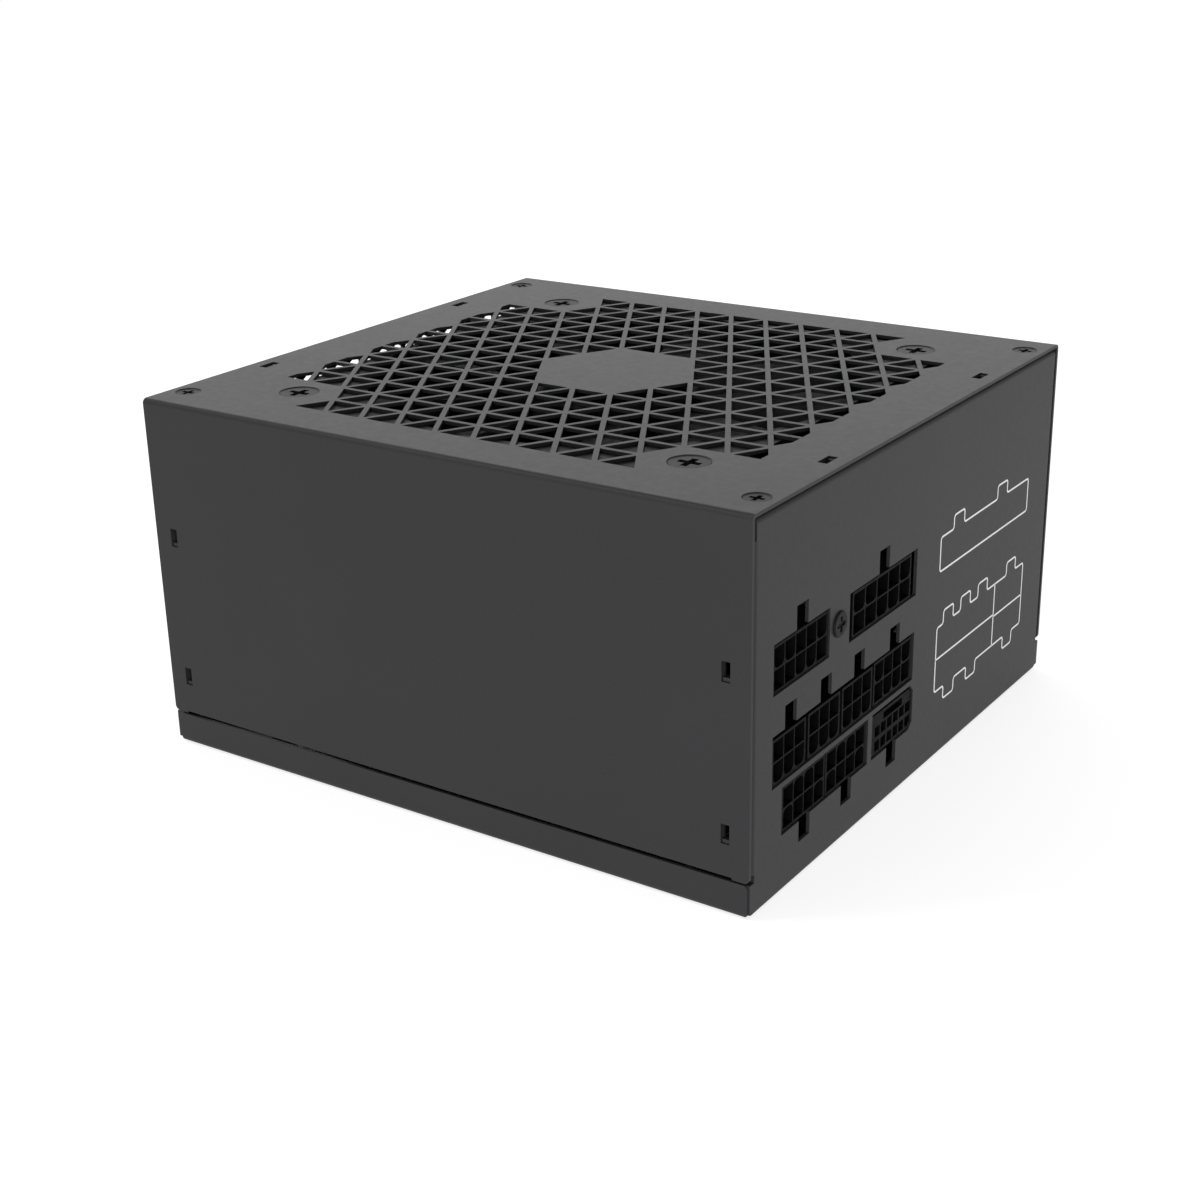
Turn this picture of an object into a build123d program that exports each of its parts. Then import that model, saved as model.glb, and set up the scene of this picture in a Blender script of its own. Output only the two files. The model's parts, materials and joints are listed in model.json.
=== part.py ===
from build123d import *
import os
from math import cos, radians, sin, sqrt, tan

# Modular ATX power supply, fan on top. Millimetres, +Z up, origin at the middle of the underside.
# The modular sockets face -Y, the mains inlet and the switch face +Y.

# Housing
WIDTH = 150.0
DEPTH = 160.0
HEIGHT = 86.0
SHEET = 0.8
BEND = 1.2
FIT = 0.1
FRONT = -DEPTH / 2
REAR = DEPTH / 2
STRIP_TOP = 7.65
SEAM = 0.95
EAR_SEAM = 0.5
EAR_LENGTH = 4.0
COVER_LOW = STRIP_TOP + SEAM
TRAY_TOP = HEIGHT - SHEET - 0.4
PANEL_HALF = WIDTH / 2 - SHEET - 0.9
FLANGE_OUT = WIDTH / 2 - SHEET - FIT
FLANGE_REACH = 12.0
FLANGE_LOW = 9.5
FLANGE_HIGH = 80.4
FLOOR = SHEET

# Hooks of the tray in slots of the cover, and the screws between them
HOOK_Y = 74.4
HOOK_HEIGHTS = (18.0, 53.2)
SIDE_SLOT = (2.0, 4.4)
TAB_PLACES = [(x, y) for x in (-37.5, 37.5) for y in (-75.8, 75.8)]
TOP_SLOT = (5.0, 2.2)
COVER_SCREW_PLACES = [(x, y) for x in (-65.2, 65.2) for y in (-75.3, 75.3)]
COVER_SCREW_HEAD = 2.95
COVER_SCREW_SHANK = 1.45

# Fan and its grille
FAN_SIZE = 120.0
FAN_DEPTH = 25.0
FAN_TOP = HEIGHT - SHEET
FAN_LOW = FAN_TOP - FAN_DEPTH
FAN_SCREW_PLACES = [(x, y) for x in (-52.5, 52.5) for y in (-52.5, 52.5)]
FAN_SCREW_HEAD = 4.6
FAN_SCREW_SHANK = 2.1
FAN_BORE = 58.6
BLADE_TIP = 57.6
BLADE_COUNT = 9
HUB_RADIUS = 20.0
HUB_WALL = 1.8
SHAFT_RADIUS = 1.5
RUNNING_GAP = 0.05
GRILLE_SIDE = 10.3
GRILLE_PITCH = GRILLE_SIDE * sqrt(3) / 2
GRILLE_RIB = 1.2
GRILLE_FIELD = 128.0

# Modular sockets: a cell takes one tower of a cable's plug
CELL = (4.05, 4.35)
WIDE_CELL = (5.0, 4.35)
CELL_ROUND = 1.4
CELL_DEPTH = 10.5
CELL_PITCH = 4.4
WIDE_PITCH = 5.45
ROW_PITCH = 4.75
SOCKET_WALL = 0.6
SOCKET_DEPTH = 12.8
SOCKET_FACE = FRONT + 0.3
NOTCH_WIDTH = 4.8
NOTCH_HEIGHT = 5.0
PIN = 1.0
BOARD = 1.6
BOARD_FACE = SOCKET_FACE + SOCKET_DEPTH

# Each socket: centre x, centre z, latch side, and its two rows of cells,
# s for square and r for two rounded corners on the side away from the latch
SOCKET_10 = (-54.6, 51.15, 1, ("rrssr", "ssrrs"))
SOCKET_10_WIDE = (-18.2, 51.15, 1, ("rrssr", "ssrrs"))
SOCKETS_6 = [(x, 30.8, 1, ("sss", "rrr")) for x in (-58.8, -43.75, -28.75)]
SOCKETS_8 = [
    (-11.8, 31.1, 1, ("rssr", "srrs")),
    (-52.2, 18.75, -1, ("srrs", "rssr")),
    (-33.4, 18.75, -1, ("srrs", "rssr")),
]
SOCKET_12V = (-11.2, 18.5)
SOCKET_12V_SIZE = (19.3, 9.7)
SOCKET_12V_PITCH = 3.03
SOCKET_12V_ROWS = (19.1, 15.6)
SOCKET_12V_CELL = 2.45
SENSE_SLOT = (9.3, 1.7)
SENSE_HEIGHT = 21.7
PANEL_SCREW_PLACE = (-38.6, 51.7)

# Cut-outs in the modular panel: low x, high x, low z, high z
SOCKET_WINDOWS = (
    (-66.2, -42.8, 45.8, 56.8),
    (-34.0, -1.8, 45.8, 56.8),
    (-66.2, -1.8, 25.4, 37.0),
    (-62.0, -23.5, 13.3, 24.2),
)
WINDOW_12V = (-21.5, -1.2, 13.3, 24.2)
PANEL_FIELD_HALF = 72.4
PANEL_FIELD_LOW = 2.0
PANEL_FIELD_HIGH = 83.2

# Latch notches, one beside each socket: centre x, low z, high z
LATCH_NOTCHES = (
    [(x, 56.0, 61.9) for x in (-54.6, -18.2)]
    + [(x, 36.0, 42.0) for x in (-58.8, -43.75, -28.75, -11.8)]
    + [(x, 8.4, 14.0) for x in (-52.2, -33.4, -11.6)]
)

# Rear panel
INLET_PLACE = (44.0, 40.0)
INLET_NOSE = (27.2, 19.8)
INLET_CORNER = 5.0
INLET_SCREW_PITCH = 40.0
INLET_BACK = REAR - 24.0
SWITCH_PLACE = (6.0, 40.0)
SWITCH_HOLE = (13.0, 19.2)
ROCKER_PIVOT_Y = REAR - 0.7
ROCKER_TILT = 10.0
CASE_HOLES = ((-69.0, 6.0), (69.0, 6.0), (-69.0, 70.0), (45.0, 80.0))
CASE_HOLE_RADIUS = 1.4
CASE_HOLE_COLLAR = 2.4
CASE_HOLE_LENGTH = 2.8
VENT_FLATS = 4.6
VENT_RIB = 1.1
VENT_LOW = 12.93
EARTH_PLACE = (64.0, 67.0)

# Boards inside
BOARD_LOW = 6.0
BOARD_TOP = BOARD_LOW + BOARD
BOARD_SIZE = (140.0, 120.0)
BOARD_CENTRE_Y = -2.0
STANDOFF_PLACES = [(x, y) for x in (-66.0, 66.0) for y in (-58.0, 54.0)] + [(24.0, -58.0)]
MODULAR_BOARD = (-70.0, 6.0, 9.8, 62.0)

# Cores of the main and standby transformers and of the resonant inductor:
# centre x, centre y, length, width, height, with legs that are a share of the length
TRANSFORMERS = ((6, -14, 34, 20, 32), (6, -48, 18, 10, 18))
RESONANT_INDUCTOR = (6, 24, 24, 14, 22)
CORE_LEG = 0.1375
FILTER_BOARD_Y = 50.0


def save(builder, name):
    """Label a finished piece and write it."""
    builder.part.label = name
    export_step(builder.part, f"parts/{name}.step")


def block(low, high, mode=Mode.ADD):
    """A box between two opposite corners."""
    low = Vector(*low)
    high = Vector(*high)
    with Locations((low + high) / 2):
        Box(*(high - low), mode=mode)


def rod(place, radius, low, high, mode=Mode.ADD):
    """An upright cylinder between two heights."""
    with Locations((*place, low)):
        Cylinder(radius, high - low, align=(Align.CENTER, Align.CENTER, Align.MIN), mode=mode)


def rounded_rectangle(width, low, high, corner, sides="both"):
    """A rectangle from low to high whose upper or whose four corners are rounded."""
    with BuildSketch() as outline:
        with Locations((0, low)):
            Rectangle(width, high - low, align=(Align.CENTER, Align.MIN))
        corners = outline.vertices()
        if sides == "upper":
            corners = corners.group_by(Axis.Y)[-1]
        if sides == "lower":
            corners = corners.group_by(Axis.Y)[0]
        fillet(corners, corner)
    return outline.sketch


def countersunk_screw(head, shank, length):
    """A screw with a flat Phillips head, its top at z = 0 and its tip below."""
    with BuildPart() as screw:
        rod((0, 0), shank, -length, 0)
        with BuildSketch():
            Circle(head)
        extrude(amount=shank - head, taper=45)
        phillips_cross(head, head * 0.45)
    return screw.part


def pan_screw(head, head_height, shank, length):
    """A screw with a raised Phillips head that rests at z = 0, its tip below."""
    with BuildPart() as screw:
        rod((0, 0), head, 0, head_height)
        fillet(screw.edges().group_by(Axis.Z)[-1], head_height * 0.7)
        rod((0, 0), shank, -length, 0)
        chamfer(screw.edges().group_by(Axis.Z)[0], 0.4)
        phillips_cross(head, head_height * 0.8, head_height)
    return screw.part


def phillips_cross(head, depth, top=0.0):
    """Cuts the driver recess into the head being built."""
    slot = head * 0.36
    with BuildSketch(Plane.XY.offset(top)) as cross:
        Rectangle(head * 1.2, slot)
        Rectangle(slot, head * 1.2)
    extrude(cross.sketch, amount=-depth, taper=8, mode=Mode.SUBTRACT)


# ---------------------------------------------------------------- housing


def grille_places():
    """Centres of the triangular holes, as (points to +X, points to -X)."""
    to_right = []
    to_left = []
    for column in range(-7, 7):
        outer = column < -5 or column > 4
        for rib, places, centroid in ((column, to_right, 1 / 3), (column + 1, to_left, 2 / 3)):
            shift = 0.5 if rib % 2 == 0 else 0.0
            rows = (4 if outer else 6) - shift
            x = (column + centroid) * GRILLE_PITCH
            row = -rows
            while row <= rows:
                inside_hexagon = abs(x) < 2 * GRILLE_PITCH
                inside_hexagon &= abs(row) < 2 - abs(x) / (2 * GRILLE_PITCH)
                if not inside_hexagon:
                    places.append((x, row * GRILLE_SIDE))
                row += 1
    return to_right, to_left


def make_top_cover():
    ear_low = STRIP_TOP + EAR_SEAM
    inner = WIDTH - 2 * SHEET
    with BuildPart() as top_cover:
        with BuildSketch(Plane.XZ):
            add(rounded_rectangle(WIDTH, ear_low, HEIGHT, BEND, "upper"))
        extrude(amount=DEPTH / 2, both=True)
        with BuildSketch(Plane.XZ):
            add(rounded_rectangle(inner, 0, HEIGHT - SHEET, BEND - SHEET, "upper"))
        extrude(amount=DEPTH, both=True, mode=Mode.SUBTRACT)
        with BuildSketch(Plane.YZ):
            Rectangle(DEPTH - 2 * EAR_LENGTH, 2 * COVER_LOW)
        extrude(amount=WIDTH, both=True, mode=Mode.SUBTRACT)
        cross_edges = top_cover.edges().filter_by(Axis.X)
        ear_corners = cross_edges.filter_by(lambda edge: abs(edge.center().Y) > REAR - 0.1)
        fillet(ear_corners.group_by(Axis.Z)[0], 1.2)
        with BuildSketch(Plane.YZ):
            with Locations(*[(side * HOOK_Y, z) for side in (-1, 1) for z in HOOK_HEIGHTS]):
                Rectangle(*SIDE_SLOT)
        extrude(amount=WIDTH, both=True, mode=Mode.SUBTRACT)
        with BuildSketch(Plane.XY.offset(HEIGHT)):
            with Locations(*TAB_PLACES):
                Rectangle(*TOP_SLOT)
            Rectangle(GRILLE_FIELD, GRILLE_FIELD)
        extrude(amount=-2 * SHEET, mode=Mode.SUBTRACT)
        with Locations(*[(x, y, HEIGHT) for x, y in COVER_SCREW_PLACES]):
            CounterSinkHole(COVER_SCREW_SHANK + 0.2, COVER_SCREW_HEAD + 0.1, 2 * SHEET, 90)
    save(top_cover, "top_cover")


def make_fan_grille():
    """The pierced middle of the cover: triangular holes round a plain hexagon over the fan's hub."""
    hole_radius = GRILLE_SIDE / sqrt(3) - GRILLE_RIB
    to_right, to_left = grille_places()
    with BuildPart() as fan_grille:
        with BuildSketch(Plane.XY.offset(HEIGHT)):
            Rectangle(GRILLE_FIELD, GRILLE_FIELD)
            with Locations(*to_right):
                RegularPolygon(hole_radius, 3, align=None, mode=Mode.SUBTRACT)
            with Locations(*to_left):
                RegularPolygon(hole_radius, 3, rotation=180, align=None, mode=Mode.SUBTRACT)
        extrude(amount=-SHEET)
        with Locations(*[(x, y, HEIGHT) for x, y in FAN_SCREW_PLACES]):
            CounterSinkHole(FAN_SCREW_SHANK + 0.3, FAN_SCREW_HEAD + 0.15, 2 * SHEET, 90)
    save(fan_grille, "fan_grille")


def window(low_x, high_x, low_z, high_z):
    """Rectangular opening in a panel sketch."""
    with Locations(((low_x + high_x) / 2, (low_z + high_z) / 2)):
        Rectangle(high_x - low_x, high_z - low_z)


def socket_openings():
    """Windows for the sockets, with a notch beside each socket for its plug's latch."""
    with BuildSketch() as openings:
        window(*WINDOW_12V)
        chamfer(openings.vertices().group_by(Axis.X)[-1], 1.6)
        for edges in SOCKET_WINDOWS:
            window(*edges)
        for x, low, high in LATCH_NOTCHES:
            window(x - NOTCH_WIDTH / 2, x + NOTCH_WIDTH / 2, low, high)
        with Locations(PANEL_SCREW_PLACE):
            Circle(1.7)
    return openings.sketch


def vent_places():
    """Honeycomb holes of the rear panel, clear of the inlet, the switch and the screws."""
    pitch = VENT_FLATS + VENT_RIB
    rise = pitch * sqrt(3) / 2
    places = []
    for row in range(14):
        z = VENT_LOW + row * rise
        shift = (row % 2) * pitch / 2
        for column in range(-12, 13):
            x = column * pitch + shift
            by_inlet = abs(x - INLET_PLACE[0]) < 28.5 and abs(z - INLET_PLACE[1]) < 15.5
            by_switch = abs(x - SWITCH_PLACE[0]) < 13.0 and abs(z - SWITCH_PLACE[1]) < 15.0
            by_screw = any(abs(x - a) < 5.6 and abs(z - b) < 5.4 for a, b in CASE_HOLES)
            if abs(x) < 68 and not (by_inlet or by_switch or by_screw):
                places.append((x, z))
    return places


def inlet_outline(width, height, corner):
    """Mains inlet section: a rectangle whose two upper corners are cut off."""
    with BuildSketch() as outline:
        Rectangle(width, height)
        chamfer(outline.vertices().group_by(Axis.Y)[-1], corner)
    return outline.sketch


def whole_tray():
    """Floor, end panels, flanges and side strips, bent from one sheet."""
    inner_depth = DEPTH - 2 * SHEET
    with BuildPart() as base_tray:
        # floor, both end panels and their upper flanges
        with BuildSketch(Plane.YZ):
            add(rounded_rectangle(DEPTH, 0, TRAY_TOP, BEND))
            add(rounded_rectangle(inner_depth, SHEET, TRAY_TOP - SHEET, BEND - SHEET), mode=Mode.SUBTRACT)
            with Locations((0, TRAY_TOP)):
                Rectangle(DEPTH - 2 * FLANGE_REACH, 4, mode=Mode.SUBTRACT)
        extrude(amount=PANEL_HALF, both=True)
        # side flanges of the panels, behind the cover's sides
        bend_start = FLANGE_OUT - BEND
        for side in (-1, 1):
            for end in (-1, 1):
                x = (side * bend_start, side * WIDTH / 2)
                y = (end * (REAR - FLANGE_REACH), end * (REAR + 1))
                block((min(x), min(y), STRIP_TOP), (max(x), max(y), FLANGE_HIGH), Mode.SUBTRACT)
        flange_length = FLANGE_HIGH - FLANGE_LOW
        with BuildSketch(Plane.XY.offset(FLANGE_LOW)):
            RectangleRounded(2 * FLANGE_OUT, DEPTH, BEND)
            RectangleRounded(2 * (FLANGE_OUT - SHEET), inner_depth, BEND - SHEET, mode=Mode.SUBTRACT)
            Rectangle(WIDTH, DEPTH - 2 * FLANGE_REACH, mode=Mode.SUBTRACT)
        extrude(amount=flange_length)
        # side strips
        with BuildSketch(Plane.XZ):
            add(rounded_rectangle(WIDTH, 0, 2 * STRIP_TOP, BEND, "lower"))
            hollow = rounded_rectangle(WIDTH - 2 * SHEET, SHEET, 3 * STRIP_TOP, BEND - SHEET)
            add(hollow, mode=Mode.SUBTRACT)
            with Locations((0, STRIP_TOP)):
                Rectangle(WIDTH, STRIP_TOP, align=(Align.CENTER, Align.MIN), mode=Mode.SUBTRACT)
        extrude(amount=REAR - BEND, both=True)
        with BuildSketch(Plane.YZ.offset(WIDTH / 2)):
            add(rounded_rectangle(DEPTH - SHEET, BEND, STRIP_TOP, 1.0, "upper"))
        extrude(amount=-SHEET)
        with BuildSketch(Plane.YZ.offset(-WIDTH / 2)):
            add(rounded_rectangle(DEPTH - SHEET, BEND, STRIP_TOP, 1.0, "upper"))
        extrude(amount=SHEET)
        # closed corners between the side strips and the end panels
        for side in (-1, 1):
            for end in (-1, 1):
                x = (side * (PANEL_HALF - SHEET), side * (WIDTH / 2 - SHEET / 2))
                y = (end * (REAR - SHEET), end * REAR)
                block((min(x), min(y), BEND), (max(x), max(y), STRIP_TOP))
        # hooks that stand in the cover's side slots, and tabs in its upper slots, each by its opening
        hook_reach = SHEET * 0.7
        for side in (-1, 1):
            for end in (-1, 1):
                for z in HOOK_HEIGHTS:
                    x = (side * (FLANGE_OUT - SHEET), side * (FLANGE_OUT + hook_reach))
                    y = end * HOOK_Y
                    block((min(x), y - 0.9, z - 1.3), (max(x), y + 0.9, z + 2.1), Mode.SUBTRACT)
                    block((min(x), y - 0.8, z - 2.1), (max(x), y + 0.8, z - 1.3))
        for x, y in TAB_PLACES:
            block((x - 2.3, y - 0.9, TRAY_TOP - SHEET), (x + 1.4, y + 0.9, TRAY_TOP), Mode.SUBTRACT)
            block((x + 1.4, y - 0.6, TRAY_TOP - SHEET), (x + 2.2, y + 0.6, HEIGHT - 0.4))
        with Locations(*[(x, y, TRAY_TOP) for x, y in COVER_SCREW_PLACES]):
            CounterSinkHole(COVER_SCREW_SHANK + FIT, COVER_SCREW_SHANK + 0.5, 2 * SHEET, 90)
        # modular panel
        with BuildSketch(Plane.XZ.offset(REAR + 1)):
            add(socket_openings())
        extrude(amount=-4, mode=Mode.SUBTRACT)
        # rear panel
        with BuildSketch(Plane.XZ.offset(FRONT + SHEET)):
            with Locations(*CASE_HOLES):
                Circle(CASE_HOLE_COLLAR)
        extrude(amount=CASE_HOLE_LENGTH - SHEET)
        with BuildSketch(Plane.XZ.offset(FRONT - 1)):
            with Locations(*CASE_HOLES):
                Circle(CASE_HOLE_RADIUS)
            with Locations(INLET_PLACE):
                add(inlet_outline(INLET_NOSE[0] + 0.4, INLET_NOSE[1] + 0.4, INLET_CORNER))
                with GridLocations(INLET_SCREW_PITCH, 1, 2, 1):
                    Circle(1.7)
            with Locations(SWITCH_PLACE):
                Rectangle(SWITCH_HOLE[0] + 0.2, SWITCH_HOLE[1] + 0.2)
            with Locations(*vent_places()):
                RegularPolygon(VENT_FLATS / 2, 6, major_radius=False, rotation=30, align=None)
        extrude(amount=CASE_HOLE_LENGTH + 3, mode=Mode.SUBTRACT)
        # earth screw hole in the floor
        with Locations((*EARTH_PLACE, FLOOR)):
            Hole(1.6, depth=2 * SHEET)
    return base_tray.part


def make_tray():
    """The flat field of the modular panel, with its openings, and the rest of the tray round it."""
    tray = whole_tray()
    field_low = (-PANEL_FIELD_HALF, FRONT - 1, PANEL_FIELD_LOW)
    field_high = (PANEL_FIELD_HALF, FRONT + SHEET, PANEL_FIELD_HIGH)
    with BuildPart() as modular_panel:
        add(tray)
        block(field_low, field_high, Mode.INTERSECT)
    save(modular_panel, "modular_panel")
    with BuildPart() as base_tray:
        add(tray)
        block(field_low, field_high, Mode.SUBTRACT)
    save(base_tray, "base_tray")


def make_insulation_sheet():
    with BuildPart() as insulation_sheet:
        with BuildSketch(Plane.XY.offset(FLOOR)):
            with Locations((0, BOARD_CENTRE_Y)):
                Rectangle(BOARD_SIZE[0] + 4, BOARD_SIZE[1] + 4)
            with Locations(*STANDOFF_PLACES):
                Circle(3.6, mode=Mode.SUBTRACT)
        extrude(amount=0.4)
    save(insulation_sheet, "insulation_sheet")


# ---------------------------------------------------------------- fan


def make_fan_frame():
    flange = 4.0
    strut_high = 3.0
    with BuildPart() as fan_frame:
        with BuildSketch(Plane.XY.offset(FAN_LOW)):
            RectangleRounded(FAN_SIZE, FAN_SIZE, 5)
            Circle(FAN_BORE, mode=Mode.SUBTRACT)
        extrude(amount=FAN_DEPTH)
        with BuildSketch(Plane.XY.offset(FAN_LOW + flange)):
            Rectangle(FAN_SIZE + 10, FAN_SIZE + 10)
            Circle(FAN_SIZE / 2 + 0.2, mode=Mode.SUBTRACT)
            with Locations(*FAN_SCREW_PLACES):
                Circle(4.6, mode=Mode.SUBTRACT)
        extrude(amount=FAN_DEPTH - 2 * flange, mode=Mode.SUBTRACT)
        with BuildSketch(Plane.XY.offset(FAN_LOW)):
            Circle(21)
            with PolarLocations(40, 4, start_angle=45):
                Rectangle(39.5, 5)
        extrude(amount=2)
        with BuildSketch(Plane.XY.offset(FAN_LOW)):
            with PolarLocations(40, 4, start_angle=45):
                Rectangle(39, 2)
        extrude(amount=strut_high)
        rod((0, 0), 4.2, FAN_LOW, FAN_LOW + 16)
        rod((0, 0), 3.0, FAN_LOW + 1.2, FAN_LOW + 17, Mode.SUBTRACT)
        with Locations(*[(x, y, FAN_TOP) for x, y in FAN_SCREW_PLACES]):
            CounterSinkHole(FAN_SCREW_SHANK + 0.15, FAN_SCREW_HEAD - SHEET + 0.3, FAN_DEPTH, 90)
    save(fan_frame, "fan_frame")


def ring(name, inner, outer, low, high):
    """A plain ring about the fan's axis."""
    with BuildPart() as piece:
        rod((0, 0), outer, low, high)
        rod((0, 0), inner, low - 1, high + 1, Mode.SUBTRACT)
    save(piece, name)


def make_fan_motor():
    """Four-pole laminated core, a coil round each pole, and the drive board under them."""
    low = FAN_LOW + 5.5
    high = FAN_LOW + 14.5
    pole_half = 1.8
    with BuildPart() as fan_stator:
        with BuildSketch(Plane.XY.offset(low)):
            Circle(7)
            with PolarLocations(10, 4):
                Rectangle(9, 2 * pole_half)
            with PolarLocations(13.6, 4):
                Rectangle(2.4, 15)
            Circle(4.3, mode=Mode.SUBTRACT)
        extrude(amount=high - low)
        rod((0, 0), 15.4, low - 1, high + 1, Mode.INTERSECT)
    save(fan_stator, "fan_stator")
    with BuildPart() as fan_windings:
        for x, y in ((9.8, 0), (0, 9.8), (-9.8, 0), (0, -9.8)):
            outer_x, outer_y = (2.2, 4.0) if y == 0 else (4.0, 2.2)
            inner_x, inner_y = (3, pole_half + FIT) if y == 0 else (pole_half + FIT, 3)
            with Locations((x, y, (low + high) / 2)):
                Box(2 * outer_x, 2 * outer_y, high - low + 2)
                Box(2 * inner_x, 2 * inner_y, high - low + 2 * FIT, mode=Mode.SUBTRACT)
    save(fan_windings, "fan_windings")


def blade_section(radius, chord, pitch, camber):
    """Curved strip across one blade, seen along the blade."""
    along = Vector(cos(radians(pitch)), sin(radians(pitch)))
    across = Vector(-along.Y, along.X)
    start = along * (-chord / 2)
    end = along * (chord / 2)
    middle = across * camber
    edge = across * 0.8
    belly = across * 1.4
    with BuildSketch(Plane(origin=(radius, 0, FAN_LOW + 13), x_dir=(0, 1, 0), z_dir=(1, 0, 0))) as section:
        with BuildLine():
            ThreePointArc(start, middle, end)
            Line(end, end + edge)
            ThreePointArc(end + edge, middle + belly, start + edge)
            Line(start + edge, start)
        make_face()
    return section.sketch


def make_fan_impeller():
    hub_low = FAN_LOW + 3.8
    hub_high = FAN_LOW + 22.5
    with BuildPart() as blade:
        root = blade_section(HUB_RADIUS - 1.1, 17, 48, 1.5)
        middle = blade_section(38, 27, 36, 3.0)
        tip = blade_section(BLADE_TIP + 2.4, 34, 27, 4.0)
        loft([root, middle, tip])
        rod((0, 0), BLADE_TIP, FAN_LOW, FAN_TOP, Mode.INTERSECT)
    with BuildPart() as fan_impeller:
        rod((0, 0), HUB_RADIUS, hub_low, hub_high)
        fillet(fan_impeller.edges().group_by(Axis.Z)[-1], 1.8)
        rod((0, 0), HUB_RADIUS - HUB_WALL, hub_low - 1, hub_high - 2, Mode.SUBTRACT)
        rod((0, 0), 3.6, FAN_LOW + 17, hub_high - 2)
        rod((0, 0), SHAFT_RADIUS + 0.02, FAN_LOW + 16, hub_high - 2, Mode.SUBTRACT)
        with PolarLocations(0, BLADE_COUNT):
            add(blade.part)
    save(fan_impeller, "fan_impeller")
    with BuildPart() as fan_shaft:
        rod((0, 0), SHAFT_RADIUS, FAN_LOW + 2.2, hub_high - 2)
        fillet(fan_shaft.edges().group_by(Axis.Z)[0], 0.5)
    save(fan_shaft, "fan_shaft")


# ---------------------------------------------------------------- modular sockets


def socket_cells(socket, pitch):
    """Each cell of a socket as (centre x, centre z, shape)."""
    x, z, _, rows = socket
    middle = (len(rows[0]) - 1) / 2
    return [
        (x + (column - middle) * pitch, z + (0.5 - row) * ROW_PITCH, shape)
        for row, shapes in enumerate(rows)
        for column, shape in enumerate(shapes)
    ]


def socket_body(socket, cell=CELL, pitch=CELL_PITCH):
    """A socket's housing: open cells at the front, a hole for each pin, and a ramp for the latch."""
    x, z, latch, rows = socket
    width = (len(rows[0]) - 1) * pitch + cell[0] + 2 * SOCKET_WALL
    height = ROW_PITCH + cell[1] + 2 * SOCKET_WALL
    edge = z + latch * height / 2
    cells = socket_cells(socket, pitch)
    with BuildPart() as body:
        with BuildSketch(Plane.XZ.offset(-SOCKET_FACE)):
            with Locations((x, z)):
                RectangleRounded(width, height, 0.3)
        extrude(amount=-SOCKET_DEPTH)
        with BuildSketch(Plane.XZ.offset(-SOCKET_FACE)):
            for cell_x, cell_z, shape in cells:
                with BuildSketch(mode=Mode.PRIVATE) as outline:
                    Rectangle(*cell)
                    if shape == "r":
                        fillet(outline.vertices().group_by(Axis.Y)[0 if latch > 0 else -1], CELL_ROUND)
                with Locations((cell_x, cell_z)):
                    add(outline.sketch)
        extrude(amount=-CELL_DEPTH, mode=Mode.SUBTRACT)
        with BuildSketch(Plane.XZ.offset(-SOCKET_FACE)):
            with Locations(*[(cell_x, cell_z) for cell_x, cell_z, _ in cells]):
                Rectangle(PIN + 2 * FIT, PIN + 2 * FIT)
        extrude(amount=-SOCKET_DEPTH, mode=Mode.SUBTRACT)
        with BuildSketch(Plane.YZ.offset(x)):
            with BuildLine():
                Polyline(
                    (SOCKET_FACE + 1.5, edge),
                    (SOCKET_FACE + 5.0, edge + latch * 1.4),
                    (SOCKET_FACE + 6.5, edge + latch * 1.4),
                    (SOCKET_FACE + 6.5, edge),
                    close=True,
                )
            make_face()
        extrude(amount=1.7, both=True)
    return body.part


def socket_12v_cells():
    """Cell places of the 12-volt socket: two rows of six power contacts."""
    return [
        (SOCKET_12V[0] + 0.5 + (column - 2.5) * SOCKET_12V_PITCH, z)
        for z in SOCKET_12V_ROWS
        for column in range(6)
    ]


def sense_places():
    """The four small contacts in the 12-volt socket's sense slot."""
    return [(SOCKET_12V[0] + 0.5 + (column - 1.5) * 2.2, SENSE_HEIGHT) for column in range(4)]


def make_sockets():
    groups = (
        ("socket_10", [SOCKET_10], CELL, CELL_PITCH),
        ("socket_10_wide", [SOCKET_10_WIDE], WIDE_CELL, WIDE_PITCH),
        ("sockets_6", SOCKETS_6, CELL, CELL_PITCH),
        ("sockets_8", SOCKETS_8, CELL, CELL_PITCH),
    )
    for name, sockets, cell, pitch in groups:
        with BuildPart() as group:
            for socket in sockets:
                add(socket_body(socket, cell, pitch))
        save(group, name)
    with BuildPart() as socket_12v:
        with BuildSketch(Plane.XZ.offset(-SOCKET_FACE)) as outline:
            with Locations(SOCKET_12V):
                Rectangle(*SOCKET_12V_SIZE)
            chamfer(outline.vertices().group_by(Axis.X)[-1], 1.4)
        extrude(amount=-SOCKET_DEPTH)
        with BuildSketch(Plane.XZ.offset(-SOCKET_FACE)):
            with Locations(*socket_12v_cells()):
                Rectangle(SOCKET_12V_CELL, SOCKET_12V_CELL)
            with Locations((SOCKET_12V[0] + 0.5, SENSE_HEIGHT)):
                Rectangle(*SENSE_SLOT)
        extrude(amount=-CELL_DEPTH, mode=Mode.SUBTRACT)
        with BuildSketch(Plane.XZ.offset(-SOCKET_FACE)):
            with Locations(*socket_12v_cells(), *sense_places()):
                Rectangle(PIN + 2 * FIT, PIN + 2 * FIT)
        extrude(amount=-SOCKET_DEPTH, mode=Mode.SUBTRACT)
    save(socket_12v, "socket_12v")


def pin_places():
    """Every contact pin of the modular sockets."""
    places = [*socket_12v_cells(), *sense_places()]
    for socket in [SOCKET_10, *SOCKETS_6, *SOCKETS_8]:
        places += [(x, z) for x, z, _ in socket_cells(socket, CELL_PITCH)]
    places += [(x, z) for x, z, _ in socket_cells(SOCKET_10_WIDE, WIDE_PITCH)]
    return places


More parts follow.
